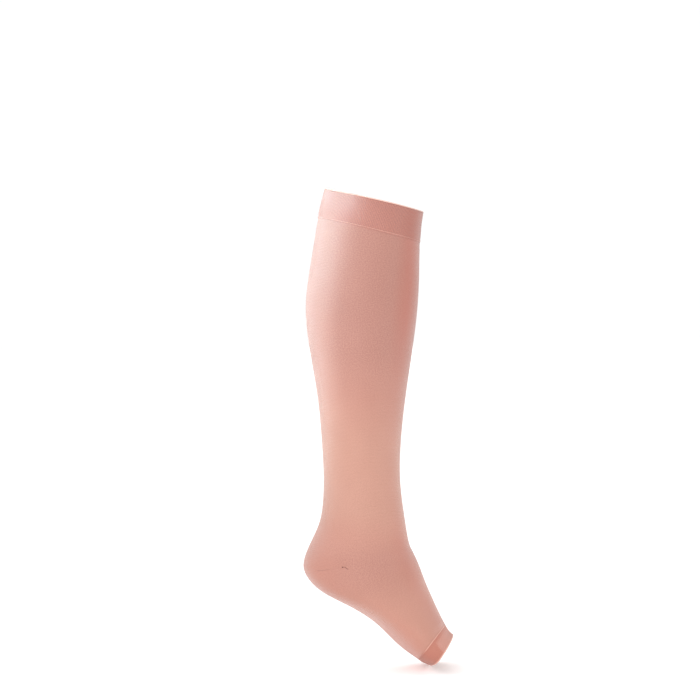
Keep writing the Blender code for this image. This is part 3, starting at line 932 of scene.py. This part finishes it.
@dataclass
class DoubledBand:
    """A doubled band: one closed strip of cloth round the leg or the foot, with a bead at each edge."""
    form: StockingForm
    name: str
    start: float
    end: float
    start_edge: Sequence[tuple[float, float]]
    end_edge: Sequence[tuple[float, float]]
    columns: int
    ribs: int                           # right round, drawn 1.8 mm apart
    finish: YarnFinish
    proud: float = 0.50 * MM            # outer face over the body knit's
    inner: float = 1.10 * MM            # inner face under it
    row_pitch: float = 1.6 * MM
    course: float = 1.3 * MM
    hem: float = 0.18 * MM              # ridge on the inside where the doubled edge is caught down
    hem_back: float = 2.5 * MM          # from the end of the band
    hem_width: float = 1.2 * MM
    fold: float = 0.25 * MM             # from each edge to where the inner face starts
    bulge: float = 0.45 * MM            # of the patches, full at bulge_reach from the seam
    bulge_reach: float = 9.0 * MM
    patch_from: float = 2.5 * MM        # from the seam to where the patches start
    patch_rise: float = 4.0 * MM        # over which they come
    patch_slant: float = 9.0            # degrees by which their edge turns on from rim to seam
    patch_edges: tuple[float, float] = (5.0, 30.0)      # degrees over which they come and go, round the foot
    bead: float = 0.9                   # mm, reach of the painted highlight on the bead at the rim
    bead_fade: float = 0.5
    groove_back: float = 1.75           # mm, from the rim to the painted shade line under it
    groove_width: float = 0.40
    base_shade: float = 0.06            # how dark the band's other edge is, 0 to 1
    base_width: float = 0.25            # mm
    groove: float = 0.0                 # how dark the painted shade line under the rim's bead is, 0 to 1
    rim_first: bool = True
    patches: tuple[tuple[float, float], ...] = ()
    dips: tuple[tuple[float, float, float], ...] = ()

    def section(self) -> tuple[Array, Array]:
        """Cross-section, down the outer face and back up the inner one.

        Returns:
            Stations and heights, metres.
        """
        first, first_height = np.array(self.start_edge).T * MM
        last, last_height = np.array(self.end_edge).T * MM
        low, high = self.start + first[-1], self.end - last[-1]
        middle = np.linspace(low, high, max(3, round((high - low) / self.row_pitch)) + 1)[1:-1]
        inside = np.linspace(self.end - self.fold, self.start + self.fold,
                             round((self.end - self.start) / self.row_pitch) + 2)
        ridge = -self.inner - self.hem * hill(inside - (self.end - self.hem_back), self.hem_width)
        station = np.concatenate([self.start + first, middle, (self.end - last)[::-1], inside])
        height = np.concatenate([first_height, np.full(len(middle), self.proud), last_height[::-1], ridge])
        return station, height

    def slack(self, station: Array, angle: Array) -> Array:
        """How far the cloth has slipped back from its open rim at each place, metres down the tube."""
        turn = np.degrees(angle) % 360
        down = (station - self.start) / (self.end - self.start)
        dip = sum(depth * hill(turn - place, width) for place, depth, width in self.dips)
        return dip * MM * (ease(1 - down) ** 2 if self.rim_first else -ease(down) ** 2)

    def zones(self, station: Array, angle: Array) -> dict[str, Array]:
        """Where the band has a painted highlight along its rim's bead, painted shade in its grooves, beside
        the shin and under the foot, and where the toes push it out, with painted light there.

        Args:
            station: distance down the tube of each point.
            angle: its place round the leg or foot.

        Returns:
            Values from 0 to 1 for the zones "rim", "crease", "patch", "shin" and "sole".
        """
        rim = self.start if self.rim_first else self.end
        turn = np.degrees(angle) % 360
        patch = np.zeros(station.shape)
        for lower, upper in self.patches:
            edge = lower + self.patch_slant * ease((self.end - station) / (self.end - self.start))
            come, go = self.patch_edges
            patch = patch + ease((turn - edge) / come) * ease((upper - turn) / go)
        patch = patch * ease((station - self.start - self.patch_from) / self.patch_rise)
        from_rim, from_base = abs(station - rim) / MM, abs(self.start + self.end - rim - station) / MM
        # painted shade: a dark line under the rim's bead, and a faint one along the band's other edge
        crease = self.groove * hill(from_rim - self.groove_back, self.groove_width)
        crease = crease + self.base_shade * hill(from_base, self.base_width)
        # the rim zone is a painted highlight along the bead of the open rim
        return {"rim": 1 - ease((from_rim - self.bead) / self.bead_fade), "crease": crease, "patch": patch,
                **PaintedShadeZones().at(self.form, station, angle)}

    def build(self) -> bpy.types.Object:
        """Make the band.

        Returns:
            The finished piece.
        """
        station, height = self.section()
        angle = np.arange(self.columns) * (FULL_TURN / self.columns)
        grid = np.broadcast_arrays(station[:, None], angle[None, :])
        zones = self.zones(*grid)
        bulge = self.bulge * zones["patch"] * ease((station - self.start)[:, None] / self.bulge_reach)
        points = self.form.lifted(grid[0] + self.slack(*grid), grid[1], height[:, None] + bulge)
        closed = np.vstack([np.column_stack([station, height]), [station[0], height[0]]])
        along = np.concatenate([[0], np.cumsum(np.linalg.norm(np.diff(closed, axis=0), axis=1))])
        along = np.broadcast_to(along[:, None] / self.course, (len(along), self.columns + 1))
        across = self.ribs * np.arange(self.columns + 1) / self.columns
        faces = tube_faces(len(station), self.columns, ends_joined=True)
        return cloth_mesh(self.name, points, faces, corner_counts(across, along[:-1], along[1:]), zones,
                          self.finish)


# ---------------------------------------------------------------- stitches

@dataclass
class StitchRow:
    """A row of equal small stitches right round one ring, as one piece."""
    form: StockingForm
    name: str
    station: float              # of their ring
    count: int
    length: float
    thickness: float
    lean: float                 # radians by which they turn from the ring, down the tube
    lift: float                 # of their middles over the form
    finish: Thread
    front_lift: float = 0.0     # more of it at the front, and as much less at the back
    segments: int = 6
    ply: float = 0.9 * MM       # length of one turn of the yarn

    def one_stitch(self) -> tuple[Array, list[list[int]]]:
        """Model one stitch upright: a ball drawn out to a short round-ended yarn.

        Returns:
            Its points and its faces' corner numbers.
        """
        bpy.ops.object.select_all(action="DESELECT")
        bpy.ops.mesh.primitive_uv_sphere_add(segments=self.segments, ring_count=self.segments,
                                             radius=self.thickness / 2)
        ball = bpy.context.active_object
        for sign in (1, -1):
            bpy.ops.object.mode_set(mode="EDIT")
            bpy.ops.mesh.select_all(action="DESELECT")
            bpy.ops.object.mode_set(mode="OBJECT")
            for vertex in ball.data.vertices:
                vertex.select = vertex.co.z * sign > 0.05 * self.thickness
            bpy.ops.object.mode_set(mode="EDIT")
            bpy.ops.transform.translate(value=(0, 0, sign * (self.length - self.thickness) / 2))
            bpy.ops.object.mode_set(mode="OBJECT")
        points = np.array([vertex.co for vertex in ball.data.vertices])
        # sorted, because the ball's faces come in no fixed order
        faces = sorted(list(face.vertices) for face in ball.data.polygons)
        bpy.data.objects.remove(ball, do_unlink=True)
        return points, faces

    def build(self) -> bpy.types.Object:
        """Lay the stitches.

        Returns:
            The finished piece.
        """
        shape, shape_faces = self.one_stitch()
        angle = np.arange(self.count) * (FULL_TURN / self.count)
        station = np.full(self.count, self.station)
        middle = self.form.lifted(station, angle, self.lift + self.front_lift * np.cos(angle))
        down, around = (v / np.linalg.norm(v, axis=-1, keepdims=True)
                        for v in self.form.directions(station, angle))
        normal = np.cross(down, around)
        normal /= np.linalg.norm(normal, axis=-1, keepdims=True)
        along = np.cos(self.lean) * np.cross(normal, down) + np.sin(self.lean) * down
        turned = np.stack([np.cross(along, normal), normal, along], axis=1)
        points = np.concatenate([place + shape @ turn for place, turn in zip(middle, turned)])
        faces = [[base + corner for corner in face] for base in range(0, len(points), len(shape))
                 for face in shape_faces]
        counts = np.column_stack([np.arctan2(shape[:, 1], shape[:, 0]) / FULL_TURN, shape[:, 2] / self.ply])
        zones = {zone: np.repeat(values, len(shape))
                 for zone, values in PaintedShadeZones().at(self.form, station, angle).items()}
        return cloth_mesh(self.name, points, faces, counts[np.tile(np.concatenate(shape_faces), self.count)],
                          zones, self.finish)


# ---------------------------------------------------------------- studio

CAMERA_TURN = math.radians(-15)         # of the camera round the leg, from its outer side towards the toes


def stand_off(aim: tuple[float, float, float], turn: float, rise: float, distance: float) -> Matrix:
    """Place that looks at an aim, with Y up.

    Args:
        aim: what it looks at.
        turn: of its direction round the leg, from the outer side towards the toes, radians.
        rise: of its direction over the level, radians.
        distance: from the aim.

    Returns:
        The place, looking down its own -Z.
    """
    way = Vector((math.sin(turn) * math.cos(rise), -math.cos(turn) * math.cos(rise), math.sin(rise)))
    return Matrix.Translation(Vector(aim) + way * distance) @ way.to_track_quat("Z", "Y").to_matrix().to_4x4()


@dataclass(frozen=True)
class SoftBox:
    """One soft light, aimed at a place on the stocking."""
    name: str
    aim: tuple[float, float, float]
    left: float                                 # degrees to the camera's left, as it faces the leg
    up: float                                   # degrees above the aim
    distance: float
    size: tuple[float, float]
    power: float                                # watts
    colour: str = "#ffffff"
    spread: float = 180.0                       # degrees; less with a grid on its front

    def build(self) -> None:
        """Hang the light."""
        lamp = bpy.data.lights.new(self.name, "AREA")
        lamp.shape, lamp.size, lamp.size_y = "RECTANGLE", *self.size
        lamp.energy, lamp.color, lamp.spread = self.power, linear(self.colour)[:3], math.radians(self.spread)
        place_object(self.name, lamp).matrix_world = stand_off(
            self.aim, CAMERA_TURN - math.radians(self.left), math.radians(self.up), self.distance)


# from the camera's left come two broad soft lights and two narrow beams, so that the light fades below the
# calf; a low one from its right lights the front of the foot, and the fill comes from beside the camera
REAR_KEY = SoftBox("rear_key", aim=(-0.010, 0.0, 0.0), left=112, up=20, distance=1.1, size=(0.60, 0.60),
                   power=0.50, colour="#d5f4ff", spread=90.0)
SIDE_KEY = SoftBox("side_key", aim=(-0.010, 0.0, 0.0), left=65, up=20, distance=1.1, size=(0.60, 0.60),
                   power=1.55, colour="#d5f4ff", spread=90.0)
CALF_BEAM = SoftBox("calf_beam", aim=(-0.010, 0.0, -0.120), left=110, up=-10, distance=1.2,
                    size=(0.40, 0.12), power=0.09, colour="#e8f8fb", spread=20.0)
BAND_BEAM = SoftBox("band_beam", aim=(-0.010, 0.0, -0.018), left=100, up=25, distance=1.2,
                    size=(0.40, 0.15), power=0.40, colour="#c2f6ff", spread=24.0)
GROUND_LIGHT = SoftBox("ground_light", aim=(0.030, 0.0, -0.430), left=-115, up=6, distance=1.3,
                       size=(0.50, 0.20), power=0.10, spread=26.0)
FILL_LIGHT = SoftBox("fill_light", aim=(-0.010, 0.0, -0.230), left=10, up=10, distance=2.2,
                     size=(1.4, 1.4), power=17.0)


@dataclass
class Studio:
    """White room with soft lights and a white floor lit from below."""
    floor_height: float
    lights: tuple[SoftBox, ...] = (REAR_KEY, SIDE_KEY, CALF_BEAM, BAND_BEAM, GROUND_LIGHT, FILL_LIGHT)
    room_strength: float = 1.02
    floor_size: float = 14.0
    floor_edge: float = 0.05

    def floor(self) -> bpy.types.Object:
        """Lay the floor, with its edge turned up all round.

        Returns:
            The floor.
        """
        bpy.ops.object.select_all(action="DESELECT")
        bpy.ops.mesh.primitive_plane_add(size=self.floor_size)
        sheet = bpy.context.active_object
        sheet.name = sheet.data.name = "studio_floor"
        bpy.ops.object.mode_set(mode="EDIT")
        bpy.ops.mesh.select_all(action="SELECT")
        bpy.ops.mesh.inset(thickness=self.floor_edge)
        bpy.ops.mesh.select_all(action="INVERT")
        bpy.ops.object.mode_set(mode="OBJECT")
        for vertex in sheet.data.vertices:
            if max(abs(vertex.co.x), abs(vertex.co.y)) > (self.floor_size - self.floor_edge) / 2:
                vertex.co.z += self.floor_edge
            vertex.co.z += self.floor_height
        sheet.data.materials.append(LightTable().make())
        return sheet

    def build(self) -> bpy.types.Object:
        """Light the room and lay its floor.

        Returns:
            The floor.
        """
        scene = bpy.context.scene
        scene.view_settings.view_transform = "Standard"
        scene.view_settings.look = "None"
        world = bpy.data.worlds.new("white_room")
        scene.world = world
        world.use_nodes = True
        room = world.node_tree.nodes["Background"]
        room.inputs["Color"].default_value = WHITE
        room.inputs["Strength"].default_value = self.room_strength
        for light in self.lights:
            light.build()
        return self.floor()


@dataclass
class CameraRig:
    """Long lens, level with the calf, at the leg's outer side and a little behind it."""
    aim: tuple[float, float, float] = (-0.0241, 0.0065, -0.156)
    rise: float = math.radians(2.4)
    distance: float = 2.427
    lens: float = 120.0         # mm
    far: float = 60.0           # where its view ends

    def build(self) -> bpy.types.Object:
        """Make the scene's camera.

        Returns:
            The camera.
        """
        camera = place_object("camera", bpy.data.cameras.new("camera"))
        camera.matrix_world = stand_off(self.aim, CAMERA_TURN, self.rise, self.distance)
        camera.data.lens, camera.data.clip_end = self.lens, self.far
        bpy.context.scene.camera = camera
        return camera


# ---------------------------------------------------------------- all together

def hand_over(piece: bpy.types.Object, slot: str, *nodes: str) -> None:
    """Put a piece on the part.

    Args:
        piece: the finished piece.
        slot: a material slot of the record; not used.
        nodes: the solids that it stands for.
    """
    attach(piece, BODY)
    if nodes:
        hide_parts(*nodes)
    log.info("%s: %d faces", piece.name, len(piece.data.polygons))


def main() -> None:
    """Build the stocking, its studio and its camera."""
    logging.basicConfig(level=logging.INFO, format="%(name)s: %(message)s")
    form = StockingForm()
    CameraRig().build()
    Studio(floor_height=CAD_BOX[0][2] - 0.2 * MM).build()

    body = KnitBody(form).build()
    hand_over(body, "body_knit", "calf_tube", "ankle_tube", "heel_pocket", "foot_tube")
    base, seam = form.station["band_base"], form.station["toe_seam"] + HALF_SEAM_GAP
    top = DoubledBand(form, "top_band_cloth", form.station["top_edge"], base - HALF_SEAM_GAP, TOP_RIM,
                      TOP_BASE, columns=224, ribs=190, finish=TOP_BAND_FACE, groove=0.6,
                      dips=TOP_RIM_DIPS).build()
    hand_over(top, "band_knit", "top_band")
    toe = DoubledBand(form, "toe_band_cloth", seam, form.station["toe_edge"], TOE_SEAM, TOE_RIM, columns=192,
                      ribs=124, finish=TOE_BAND_FACE, rim_first=False, patches=TOE_PATCHES,
                      dips=TOE_RIM_DIPS, proud=0.36 * MM, row_pitch=1.2 * MM, course=1.2 * MM).build()
    hand_over(toe, "band_knit", "toe_band")

    # the closing stitches lie on the raised lines; those of the toe band are sunk deeper towards the sole
    chain = StitchRow(form, "top_band_stitches", base - 1.3 * MM, count=184, length=2.1 * MM,
                      thickness=0.36 * MM, lean=0.08, lift=0.35 * MM, finish=BAND_THREAD).build()
    rows = StitchRow(form, "toe_seam_stitches", seam + 0.62 * MM, count=132, length=1.6 * MM,
                     thickness=0.44 * MM, lean=0.12, lift=0.24 * MM, front_lift=0.19 * MM,
                     finish=TOE_THREAD).build()
    hand_over(chain, "band_knit")
    hand_over(rows, "band_knit")


if __name__ == "__main__":
    main()
